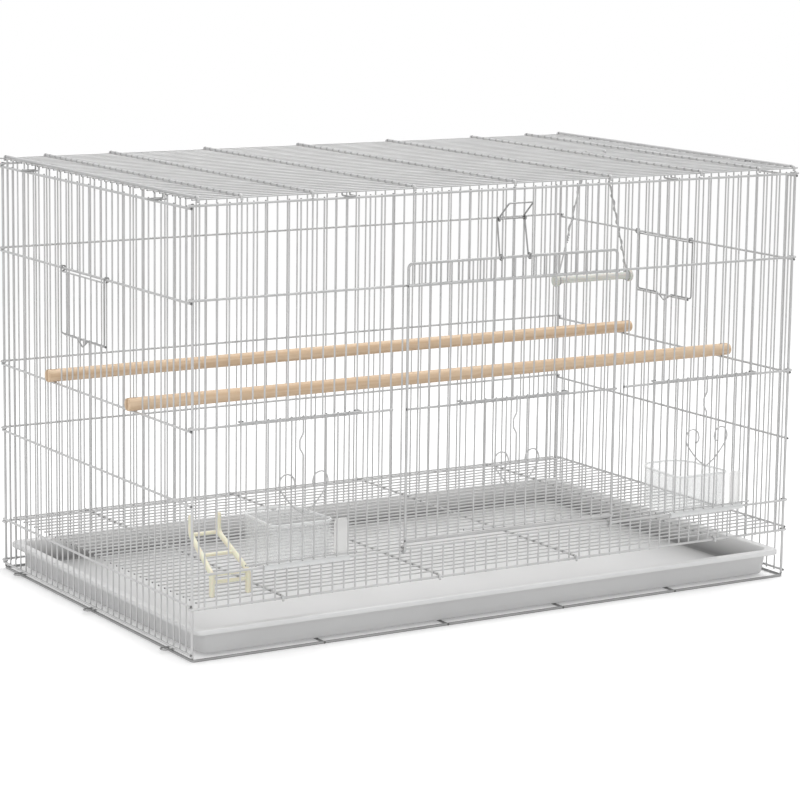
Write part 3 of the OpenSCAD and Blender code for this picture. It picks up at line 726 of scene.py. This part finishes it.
def makeLatch():
    work = newWork()
    eyeR = post / 2 + play + bar / 2
    bendZ = doorTop + latch["tall"]
    legY = -halfDeep - bar - play
    axleY = legY - latch["coil"]
    rise = math.radians(latch["angle"])
    out = Vector((0, -math.cos(rise), math.sin(rise)))
    halves = []
    for s in (-1, 1):
        eye = hoop((s * latch["wide"] / 2, -doorY, doorTop), yDir, zDir, eyeR, -latch["curl"], 0)
        bendX = s * latch["topWide"] / 2 - latch["lean"]
        coil = hoop((bendX, axleY, bendZ), yDir, zDir, latch["coil"], 0, latch["coilTurn"])
        coil = [p - s * latch["step"] * (i / (len(coil) - 1)) * xDir for i, p in enumerate(coil)]
        tip = Vector((coil[-1].x, legY, bendZ)) + out * latch["lip"]
        halves.append(eye + coil + [tip])
    left, right = halves
    ends = softPath([left[-2], left[-1], right[-1], right[-2]], latch["bend"], 6)
    wire(work, left[:-2] + ends + right[-3::-1], bar)
    reach = latch["topWide"] / 2 + latch["axleOver"]
    wire(work, [(s * reach - latch["lean"], axleY, bendZ) for s in (-1, 1)], bar)
    return work


addWires("latchBailWire", makeLatch(), "latch", clipZinc, "door_latch")

# lift-up feeder doors, each with a bowed middle bar and a heart pull; the lines are shares of their sizes
feeder = {"foot": 5.5, "cupLip": 1.4, "bend": 2.4, "nugget": 1.1,
          "bowTall": 22, "bowReach": 4, "bowDrop": 14, "bowBend": 6,
          "bowLine": ((0, 0), (1, 0.3), (1, 0.7), (0, 1)),
          "heartWide": 58, "heartTall": 44, "heartLift": 53, "heartWire": 1.6, "heartTip": 1.2,
          "heartLine": ((0, 0), (0.22, 0.21), (0.43, 0.54), (0.497, 0.74), (0.45, 0.92),
                        (0.35, 0.985), (0.23, 0.92), (0.185, 0.77), (0.21, 0.66), (0.26, 0.63))}
barOut = railOut + rail / 2 + play + feeder["cupLip"] + play + bar / 2
rodOut = barOut + bar - sink
heartOut = rodOut + bar - sink
feederTop = middleRail + rail / 2 + play + bar / 2
cupX = (feederOut - feederHalf) * frontPitch


def flowing(points, steps=6):
    # smooth run through all the points
    points = [Vector(p) for p in points]
    ends = [2 * points[0] - points[1]] + points + [2 * points[-1] - points[-2]]
    path = []
    for a, b, c, d in zip(ends, ends[1:], ends[2:], ends[3:]):
        square = a - 2.5 * b + 2 * c - d / 2
        cube = d / 2 - 1.5 * c + 1.5 * b - a / 2
        for t in (i / steps for i in range(steps)):
            path.append(b + (c - a) * t / 2 + square * t ** 2 + cube * t ** 3)
    return path + [points[-1]]


def makeHeart(x, plane):
    wide, tall = feeder["heartWide"], feeder["heartTall"]
    z = sillRail + feeder["heartLift"]
    right = flowing([(u * wide, -heartOut, z + v * tall) for u, v in feeder["heartLine"]])
    left = [Vector((-p.x, p.y, p.z)) for p in right[:0:-1]]
    tip = softPath([left[-1], right[0], right[1]], feeder["heartTip"], 3)
    work = newWork()
    wire(work, left[:-1] + tip[1:-1] + right[1:], feeder["heartWire"])
    return shifted(work, x, plane)


def makeFeeder(x, plane, pitch, low):
    work = newWork()
    half = feederHalf * pitch
    foot = low + feeder["foot"]
    guide = bar + play
    hooks = [hoop((s * half, 0, feederTop), s * xDir, yDir, guide, 0, 180) for s in (-1, 1)]
    corners = [(s * (half + guide), -barOut, feederTop) for s in (-1, 1)]
    eyedWire(work, hooks, corners, feeder["bend"], bar)
    alongX(work, half - bar, -barOut, foot, bar)
    for k in range(1 - feederHalf, feederHalf):
        path = [(k * pitch, -rodOut, foot - tail), (k * pitch, -rodOut, feederTop + tail)]
        if k == 0:
            tall = feeder["bowTall"]
            z = middleRail - feeder["bowDrop"] - tall
            bow = [(-u * feeder["bowReach"], -rodOut, z + v * tall) for u, v in feeder["bowLine"]]
            path = softPath(path[:1] + bow + path[1:], feeder["bowBend"], 6)
        wire(work, path, bar)
        for z in (foot, feederTop):
            welded(work, (k * pitch, -barOut - weldOut, z), feeder["nugget"])
    return shifted(work, x, plane)


for name, body, x, plane, pitch, low in (
    ("leftFeeder", "left_feeder", -cupX, -halfDeep, frontPitch, sillRail),
    ("centreFeeder", "centre_feeder", 0, -doorY, doorPitch, doorLow),
    ("rightFeeder", "right_feeder", cupX, -halfDeep, frontPitch, sillRail),
):
    addWires(name + "Wire", makeFeeder(x, plane, pitch, low), body, doorZinc, body + "_door")
    addWires(name + "Heart", makeHeart(x, plane), body, doorZinc)

# nest flaps: a bent frame wire hung on the upper side rail, kinked for the finger, and the bars in it
nestFlap = {"over": 4, "kink": 8.5, "kinkHalf": 14, "lift": 1.4, "barDrop": 3.2, "curl": 285, "bend": 3.2,
            "nugget": 1.15, "cornerNugget": 1.3}


def makeNest():
    frameWork, barWork = newWork(), newWork()
    eyeR = rail / 2 + play + bar / 2
    x = sideRailX + eyeR
    lowY, highY = sideBarY(nestLow) - nestFlap["over"], sideBarY(nestHigh) + nestFlap["over"]
    middle = (lowY + highY) / 2
    foot = nestSill + nestFlap["lift"]
    kink, half = nestFlap["kink"], nestFlap["kinkHalf"]
    eyes = [hoop((sideRailX, y, nestRail), xDir, zDir, eyeR, 0, nestFlap["curl"]) for y in (lowY, highY)]
    line = ((lowY, 0), (middle - half, 0), (middle, kink), (middle + half, 0), (highY, 0))
    eyedWire(frameWork, eyes, [(x, y, foot - drop) for y, drop in line], nestFlap["bend"], bar)
    barZ = nestRail - nestFlap["barDrop"]
    alongY(barWork, x, lowY, highY, barZ, bar)
    for y in (lowY, highY):
        welded(barWork, (x, y, barZ), nestFlap["cornerNugget"])
    for j in range(nestLow + 1, nestHigh):
        y = sideBarY(j)
        end = foot - kink * max(0, 1 - abs(y - middle) / half)
        upright(barWork, x, y, end, barZ, bar)
        for z in (end, barZ):
            welded(barWork, (x, y, z), nestFlap["nugget"])
    return frameWork, barWork


nestFrame, nestBars = makeNest()
for name, body, flip in (("rightNest", "right_nest", 1), ("leftNest", "left_nest", -1)):
    addWires(name + "Frame", mirrored(nestFrame, flip), body, clipZinc)
    addWires(name + "Wire", mirrored(nestBars, flip), body, doorZinc, body + "_door")

# spring clips that hold the roof and the bottom frame
clips = {"reach": 11, "inside": 6, "wide": 11, "wire": 1.8, "leg": 3, "bend": 1.4,
         "frontX": 15, "sideY": 11, "baseY": 13}
clipR = (clips["wide"] - clips["wire"]) / 2
frontClip = clips["frontX"] * frontPitch
sideClip, baseClip = (clips[k] * sidePitch for k in ("sideY", "baseY"))


def hairpin(inner, rise):
    bend = hoop((0, clipR - clips["reach"], 0), xDir, yDir, clipR, 180, 360, 10)
    ends = [Vector((s * clipR, inner, 0)) for s in (-1, 1)]
    if not rise:
        return [ends[0]] + bend + [ends[1]]
    legs = [softPath([e + rise * zDir, e, e - clips["leg"] * yDir], clips["bend"], 3) for e in ends]
    return legs[0][:-1] + bend + legs[1][-2::-1]


def addClips(work, turns, places, edge, z, inner, rise=0):
    # one clip at every place along each of the turned edges
    for turn in turns:
        spin = Matrix.Rotation(math.radians(turn), 3, "Z")
        for along in places:
            move = Vector((along, -edge, z))
            wire(work, [spin @ (p + move) for p in hairpin(inner, rise)], clips["wire"])


def makeTopClips():
    work = newWork()
    frontZ = topRail + rail / 2 + rest + clips["wire"] / 2
    sideZ = frontZ - railStep
    inner = post + play
    sideInner = halfWide * (1 - max(roof["cross"])) + inner
    addClips(work, (0, 180), (-frontClip, frontClip), halfDeep, frontZ, inner, roofZ - frontZ)
    addClips(work, (90, 270), (-sideClip, sideClip), halfWide, sideZ, sideInner, roofCrossZ - sideZ)
    return work


def makeBaseClips():
    work = newWork()
    z = post + rest + clips["wire"] / 2
    addClips(work, (90, 270), (-baseClip, 0, baseClip), halfWide, z, clips["inside"])
    addClips(work, (180,), (-frontClip, frontClip), halfDeep, z, clips["inside"])
    return work


addWires("topClipWire", makeTopClips(), "cage", clipZinc, "top_clips", slot="clip", sides=8)
addWires("baseClipWire", makeBaseClips(), "cage", clipZinc, "bottom_clips", slot="clip", sides=8)

# swing: two hooked legs with their ends wound back on themselves, and a capped bar
swing = {"share": 0.72, "drop": 148, "wide": 102, "topWide": 26, "bar": 8.4, "cap": 15, "capThick": 4,
         "eyeTurn": (230, -90), "ringTurn": (90, 440), "neck": 1.5, "neckBend": 2, "strand": 1.3,
         # side, start and end as shares of the leg, turns
         "wraps": ((-1, 0.08, 0.2, 5), (-1, 0.2, 0.66, 3), (-1, 0.66, 0.72, 3), (1, 0.06, 0.96, 8))}
swingX, swingY, swingZ = swing["share"] * halfWide, sidePitch / 2, roofZ - swing["drop"]


def wrapRound(work, a, b, turns, perTurn=9):
    run = b - a
    u = run.cross(yDir).normalized()
    v = run.cross(u).normalized()
    reach = (bar + swing["strand"]) / 2
    path = []
    for i in range(turns * perTurn + 1):
        t = 2 * math.pi * i / perTurn
        around = reach * (math.cos(t) * u + math.sin(t) * v)
        path.append(a + run * (i / (turns * perTurn)) + around)
    wire(work, path, swing["strand"])


def makeHanger():
    work = newWork()
    ringR = swing["bar"] / 2 + rest + bar / 2
    eyeR = bar / 2 + play + bar / 2
    neck = swing["neck"] * zDir
    for s in (-1, 1):
        topX = swingX + s * swing["topWide"] / 2
        footX = swingX + s * (swing["wide"] / 2 - bar)
        eye = hoop((topX, swingY, roofZ), yDir, zDir, eyeR, *swing["eyeTurn"], 16)
        ring = hoop((footX, swingY, swingZ), yDir, zDir, ringR, *swing["ringTurn"], 22)
        top, foot = eye[-1], ring[0]
        wire(work, softPath([eye[-2], top - neck, foot + neck, ring[1]], swing["neckBend"]), bar)
        wire(work, eye, bar)
        wire(work, ring, bar)
        for side, start, end, turns in swing["wraps"]:
            if side == s:
                wrapRound(work, top.lerp(foot, start), top.lerp(foot, end), turns)
    return work


addWires("swingHangerWire", makeHanger(), "swing", doorZinc, "swing_hanger", sides=7)


def loftMesh(loops, finish, angle=40, openEnds=""):
    # skin over rings of equal length, closed at the first and the last one unless they are named open
    bm = bmesh.new()
    rings = [[bm.verts.new(placed(p)) for p in ring] for ring in loops]
    for a, b in zip(rings, rings[1:]):
        for i in range(len(a)):
            j = (i + 1) % len(a)
            bm.faces.new((a[i], a[j], b[j], b[i]))
    if "first" not in openEnds:
        bm.faces.new(rings[0][::-1])
    if "last" not in openEnds:
        bm.faces.new(rings[-1])
    mesh = bpy.data.meshes.new("loft")
    bm.to_mesh(mesh)
    bm.free()
    mesh.materials.append(finish)
    return tidyMesh(mesh, angle)


def joined(meshes):
    bm = bmesh.new()
    whole = bpy.data.meshes.new("joined")
    slots = []
    for mesh in meshes:
        bm.from_mesh(mesh)
        finish = mesh.materials[0]
        if finish.name not in whole.materials:
            whole.materials.append(finish)
        slots += [whole.materials.find(finish.name)] * len(mesh.polygons)
        bpy.data.meshes.remove(mesh)
    bm.to_mesh(whole)
    bm.free()
    whole.polygons.foreach_set("material_index", slots)
    return whole


def turnedRings(profile, centre, sides=40):
    # rings round a line along X, one for each (x, radius)
    last = 360 - 360 / sides
    return [hoop(Vector(centre) + x * xDir, yDir, zDir, r, 0, last, sides - 1) for x, r in profile]


def makeSwingBar():
    half, r, cap = swing["wide"] / 2, swing["bar"] / 2, swing["cap"] / 2
    end = half + swing["capThick"]
    right = [(half - 0.6, r), (half, r + 0.4), (half, cap - 0.9), (half + 0.5, cap - 0.2),
             (half + 1.2, cap), (end - 1.4, cap), (end - 0.5, cap - 0.3), (end, cap - 1.2),
             (end, 0.3 * cap)]
    left = [(-x, y) for x, y in right[::-1]]
    return loftMesh(turnedRings(left + right, (swingX, swingY, swingZ)), swingPlastic, 35)


addPiece("swingBarPiece", makeSwingBar(), "swing", "swing_bar", "swing_bar")

# perches: beech dowels whose slotted ends straddle a side bar
perches = {"size": 14, "out": 11, "places": {"front": 9, "rear": 23}}


def makePerch(y):
    r = perches["size"] / 2
    z = middleRail - railStep + rail / 2 + rest + r
    slotHalf = bar / 2 + play
    slotX = halfWide - slotHalf
    end = halfWide + perches["out"]
    parts = [loftMesh(turnedRings([(-slotX, r), (slotX, r)], (0, y, z)), beechWood)]
    prong = ((slotX - 0.5, r - 0.02), (end - 1.2, r - 0.02), (end - 0.35, r - 0.35), (end, r - 1.2))
    for s in (-1, 1):
        for side in (-1, 1):
            rings = []
            for x, size in prong:
                limit = math.degrees(math.acos(slotHalf / size))
                rings.append(hoop((s * x, y, z), side * yDir, zDir, size, -limit, limit, 16))
            parts.append(loftMesh(rings, beechWood))
    return joined(parts)


for place, j in perches["places"].items():
    mesh = tidyMesh(makePerch(sideBarY(j)))
    addPiece(place + "PerchDowel", mesh, "cage", "beech", place + "_perch")
print("swing and perches made")

# slide-out tray: leaning walls, a rolled rim with a turned-down edge
tray = {"gap": 2, "tall": 29, "lean": 4, "wall": 2, "rim": 8.5, "lip": 5.5, "corner": 12,
        # painted shade of each stretch: a little on the outer walls and the rim, full on the inner walls,
        # fading out over the floor
        "underShade": 0.1, "overShade": 0.06, "insideShade": 1,
        # distance from the wall's foot, shade
        "floorShade": ((3, 0.62), (16, 0.36), (38, 0.17), (70, 0.06), (110, 0))}


def trayRing(inset, z):
    x = halfWide - post / 2 - tray["gap"] - inset
    y0, y1 = inset - halfDeep - railOut, halfDeep - tray["gap"] - inset
    return softPath(boxed(-x, x, y0, y1, z), tray["corner"], 10, closed=True)


def makeTray():
    low = post + play
    top = low + tray["tall"]
    w, rim, lip = tray["wall"], tray["rim"], tray["lip"]
    foot = rim + tray["lean"]
    under, floor = top - w, low + w
    # each stretch of the section as (inset, height), from the middle of the underside to the floor
    stretches = (
        ("underShade", [
            (foot + 30, low), (foot + 1.8, low), (foot + 0.5, low + 0.5), (foot - 0.2, low + 1.8),
            (rim + 0.7, under - 1), (rim - 0.3, under - 0.1), (rim - 1.2, under), (w + 0.5, under),
            (w + 0.1, under - 0.5), (w, top - lip + 0.4), (w - 0.4, top - lip)]),
        ("overShade", [
            (0.4, top - lip), (0, top - lip + 0.4), (0, top - 1.1), (0.25, top - 0.4), (0.9, top - 0.06),
            (1.6, top), (rim + 0.3, top), (rim + 1.2, top - 0.3), (rim + w, top - 1.2)]),
        ("insideShade", [
            (foot + w - 0.9, floor + 2.6), (foot + w - 0.1, floor + 1), (foot + w + 1.3, floor + 0.1)]),
    )
    section = [(inset, z, tray[shade]) for shade, places in stretches for inset, z in places]
    section += [(foot + w + inset, floor, shade) for inset, shade in tray["floorShade"]]
    rings = [trayRing(inset, z) for inset, z, shade in section]
    mesh = loftMesh(rings, trayPlastic, 60)
    # painted shade for every point of each ring
    shades = [shade for (inset, z, shade), ring in zip(section, rings) for p in ring]
    mesh.attributes.new("shade", "FLOAT", "POINT").data.foreach_set("value", shades)
    return mesh


addPiece("trayPiece", makeTray(), "tray", "tray", "slide_tray")

# seed cups: round-backed bins on a wide front plate with a lip over the sill rail
cups = {"plate": 106, "front": 75, "back": 64, "deep": 86, "tall": 47.5, "wall": 1.8, "drop": 6.5,
        "strip": 1.4, "corner": 10, "backCorner": 25, "plateCorner": 4, "shift": 8}
cupFace = halfDeep - bar
cupLow = sillRail - cups["drop"]
cupTop = cupLow + cups["tall"]
cupHookZ = sillRail + rail / 2 + rest


def cupRing(x, inset, z):
    y0, y1 = inset - cupFace, cups["deep"] - cupFace - inset
    f, b = cups["front"] / 2 - inset, cups["back"] / 2 - inset
    near, far = cups["corner"] - inset / 2, cups["backCorner"] - inset / 2
    corners = [(x - f, y0, z), (x + f, y0, z), (x + b, y1, z), (x - b, y1, z)]
    return softPath(corners, [near, near, far, far], 8, closed=True)


def cupPlate(left, right):
    low, high = cupHookZ + cups["strip"] / 2, cupTop - play
    front, back = -cupFace - play, cups["wall"] / 2 - cupFace
    rings = []
    for inset, y in ((0.5, front), (0.12, front + 0.15), (0, front + 0.4),
                     (0, back - 0.4), (0.12, back - 0.15), (0.5, back)):
        x0, x1, z0, z1 = left + inset, right - inset, low + inset, high - inset
        outline = [(x0, y, z0), (x1, y, z0), (x1, y, z1), (x0, y, z1)]
        rings.append(softPath(outline, cups["plateCorner"], closed=True))
    return rings


def cupLip(x):
    # bent strip: out of the plate, over the rail and down before it
    t = cups["strip"]
    out, back, foot = -railY - rail / 2 - play, 0.8 - cupFace, sillRail - rail
    top = cupHookZ + t
    outer = softPath([(0, out - t, foot), (0, out - t, top), (0, back, top)], t * 1.4, 4)
    inner = softPath([(0, out, foot), (0, out, cupHookZ), (0, back, cupHookZ)], t * 0.4, 4)
    half = cups["plate"] / 2 - t - 1
    places = (-half, 0.3 - half, half - 0.3, half)
    return [[p + (x + place) * xDir for p in outer + inner[::-1]] for place in places]


def makeCup(x):
    w = cups["wall"]
    floor = cupLow + w
    parts = []
    # the section as (inset, height), from under the bin over its brim to the inner floor
    for section, finish, openEnds in (
        ([(12, cupLow), (2.2, cupLow), (0.7, cupLow + 0.6), (0.1, cupLow + 2.2), (0.1, cupTop - 2.6)],
         cupPlastic, "last"),
        ([(0.1, cupTop - 2.6), (0, cupTop - 2.2), (0, cupTop - 0.5), (0.5, cupTop), (w - 0.4, cupTop),
          (w + 0.1, cupTop - 0.6)], cupRim, "first last"),
        ([(w + 0.1, cupTop - 0.6), (w + 0.1, floor + 2.4), (w + 0.8, floor + 0.7), (w + 2.4, floor),
          (14, floor)], cupPlastic, "first"),
    ):
        parts.append(loftMesh([cupRing(x, inset, z) for inset, z in section], finish, 60, openEnds))
    wing, middle = cups["plate"] / 2 - 1, cups["front"] / 2 - 2
    for left, right, finish in ((-wing, middle, cupFront), (middle, wing, cupWing)):
        parts.append(loftMesh(cupPlate(x + left, x + right), finish, 50))
    parts.append(loftMesh(cupLip(x), cupRim, 50))
    return joined(parts)


for side, x in (("left", -cupX), ("right", cupX)):
    mesh = tidyMesh(makeCup(x + cups["shift"]), 50)
    addPiece(side + "SeedCup", mesh, "cage", "cup", side + "_seed_cup")
print("tray and cups made")

# ladder: moulded rails with upright feet and tops that close in upwards, four rungs
ladder = {"share": -0.858, "place": 15, "wide": 48, "topWide": 38, "top": 21, "rise": 30, "back": 56,
          "foot": 23, "sunk": 0.5, "bend": 9, "rail": 5.8, "rung": 4, "rungGap": 8, "rungs": (0, 0.48, 1)}


def makeLadder():
    work = newWork()
    x0, y = ladder["share"] * halfWide, -ladder["place"] * sidePitch
    bend = gridZ + ladder["foot"]
    high = bend + ladder["rise"]
    railX = (ladder["wide"] - ladder["rail"]) / 2
    closing = (ladder["wide"] - ladder["topWide"]) / 2

    def spot(s, share, z):
        return Vector((x0 + s * (railX - share * closing), y + share * ladder["back"], z))

    line = ((0, gridZ - ladder["sunk"]), (0, bend), (1, high), (1, high + ladder["top"]))
    for s in (-1, 1):
        wire(work, softPath([spot(s, *place) for place in line], ladder["bend"], 6), ladder["rail"])
    rungs = [(share, bend + share * ladder["rise"]) for share in ladder["rungs"]]
    for place in rungs + [(0, bend - ladder["rungGap"])]:
        wire(work, [spot(-1, *place), spot(1, *place)], ladder["rung"])
    return work


addWires("ladderPiece", makeLadder(), "cage", ladderPlastic, "ladder", slot="ladder", sides=14)

# plain soft light, a pale floor that keeps the shadow, white behind it
studio = {"world": 0.7, "floorHalf": 9, "floorTone": 0.8, "floorGlow": 0.3, "near": 1.0, "far": 2.2,
          # place, aim, size and power
          "lamps": {"keyLamp": ((1.1, 0.5, 3.1), (0, 0, 0.2), 2.0, 62),
                    "fillLamp": ((-2.8, -0.9, 0.9), (0, 0, 0.15), 2.4, 15),
                    "frontLamp": ((-0.9, -3.2, 1.0), (0, 0, 0.15), 2.4, 16)}}
white = (1, 1, 1, 1)


def seenDirectly(tree):
    # one for rays of the camera, of gloss and of clear plastic
    path = node(tree, "ShaderNodeLightPath").outputs
    seen = path["Is Camera Ray"]
    for kind in ("Is Glossy Ray", "Is Transmission Ray"):
        seen = node(tree, "ShaderNodeMath", {0: seen, 1: path[kind]}, operation="MAXIMUM").outputs[0]
    return seen


def mixedShader(tree, share, first, second):
    values = {0: share, 1: first.outputs[0], 2: second.outputs[0]}
    return node(tree, "ShaderNodeMixShader", values).outputs[0]


def makeWorld(s):
    world = bpy.data.worlds.new("studioWorld")
    world.use_nodes = True
    tree = world.node_tree
    light = feed(tree, tree.nodes["Background"], {"Color": white, "Strength": s["world"]})
    plain = node(tree, "ShaderNodeBackground", {"Color": white, "Strength": 1.0})
    mixed = mixedShader(tree, seenDirectly(tree), light, plain)
    feed(tree, tree.nodes["World Output"], {"Surface": mixed})
    scene.world = world


def makeFloor(s):
    half = s["floorHalf"]
    mesh = bpy.data.meshes.new("studioFloor")
    mesh.from_pydata(boxed(-half, half, -half, half, 0), [], [(0, 1, 2, 3)])
    mat, tree, shader = newFinish("studioFloor")
    vector, seen = grainMap(tree), seenDirectly(tree)
    speck = noise(tree, vector, scale=40, detail=2)
    feed(tree, shader, {
        "Base Color": ramp(tree, speck, cloudy(s["floorTone"], 0.01)),
        "Roughness": 0.9,
        "Specular IOR Level": 0,
    })
    glow = node(tree, "ShaderNodeEmission", {"Strength": times(tree, seen, s["floorGlow"])})
    both = node(tree, "ShaderNodeAddShader", {0: shader.outputs[0], 1: glow.outputs[0]})
    # away from the cage the floor runs into plain white
    reach = node(tree, "ShaderNodeVectorMath", {0: vector}, operation="LENGTH").outputs["Value"]
    fade = node(tree, "ShaderNodeMapRange", {"Value": reach, "From Min": s["near"], "From Max": s["far"]})
    plain = node(tree, "ShaderNodeEmission", {"Strength": seen})
    mixed = mixedShader(tree, fade.outputs["Result"], both, plain)
    feed(tree, tree.nodes["Material Output"], {"Surface": mixed})
    mesh.materials.append(mat)
    floor = newObject("studioFloor", mesh)


makeWorld(studio)
makeFloor(studio)
for name, (place, aim, size, power) in studio["lamps"].items():
    data = bpy.data.lights.new(name, "AREA")
    data.shape, data.size, data.energy = "DISK", size, power
    lamp = newObject(name, data)
    lamp.location = place
    lamp.rotation_euler = (Vector(aim) - Vector(place)).to_track_quat("-Z", "Y").to_euler()
print("studio lit")
